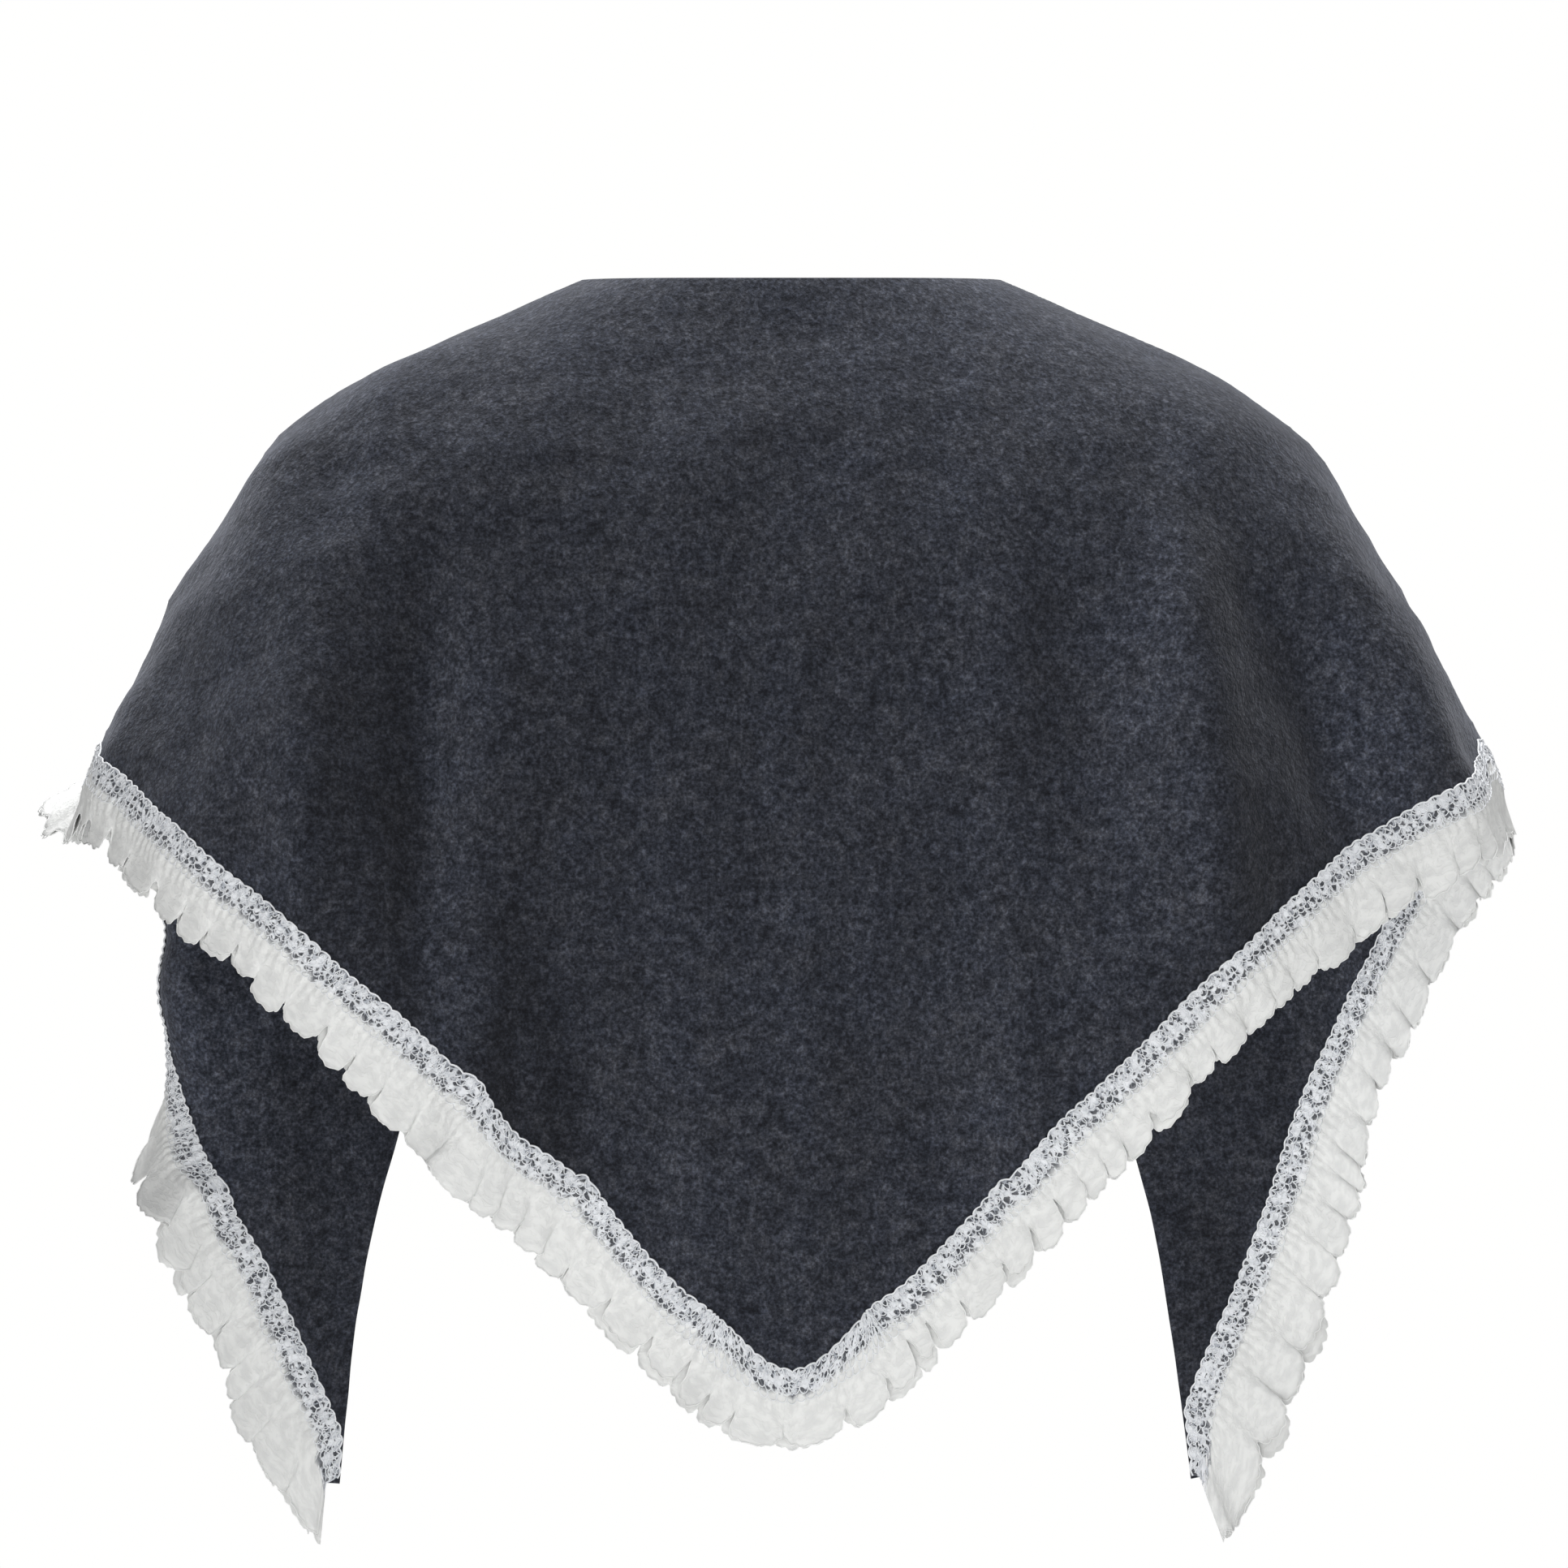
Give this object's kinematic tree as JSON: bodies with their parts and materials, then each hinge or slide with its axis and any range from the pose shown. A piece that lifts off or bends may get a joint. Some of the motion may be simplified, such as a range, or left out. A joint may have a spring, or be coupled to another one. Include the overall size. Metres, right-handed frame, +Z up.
{
  "type": "triangular wool shawl scarf with lace trim",
  "caption": "Triangular wool shawl scarf shaped as worn open over the shoulders, point down the back, tails in front, gathered lace along the short sides.",
  "frame": {"origin": "centre of the neck opening at the height of the neck edge, where the wearer's neck and shoulders hold the shawl up", "axes": "+X across the shoulders towards the side that is on the right when seen from behind, +Y towards the wearer's front, +Z up"},
  "size_m": [0.7049, 0.2879, 0.598],
  "materials": {
    "wool": "brushed charcoal wool with fine lighter flecks and a soft nap",
    "lace_net": "gathered white net with looped cord, the wool showing through its holes",
    "lace_cream": "thin ruffled lace, nearly opaque, with a corded scalloped edge"
  },
  "bodies": {
    "root": {"wool_triangle": "wool", "lace_heading_face": "lace_net", "lace_heading_inside": "lace_net", "lace_frill": "lace_cream"}
  },
  "joints": []
}
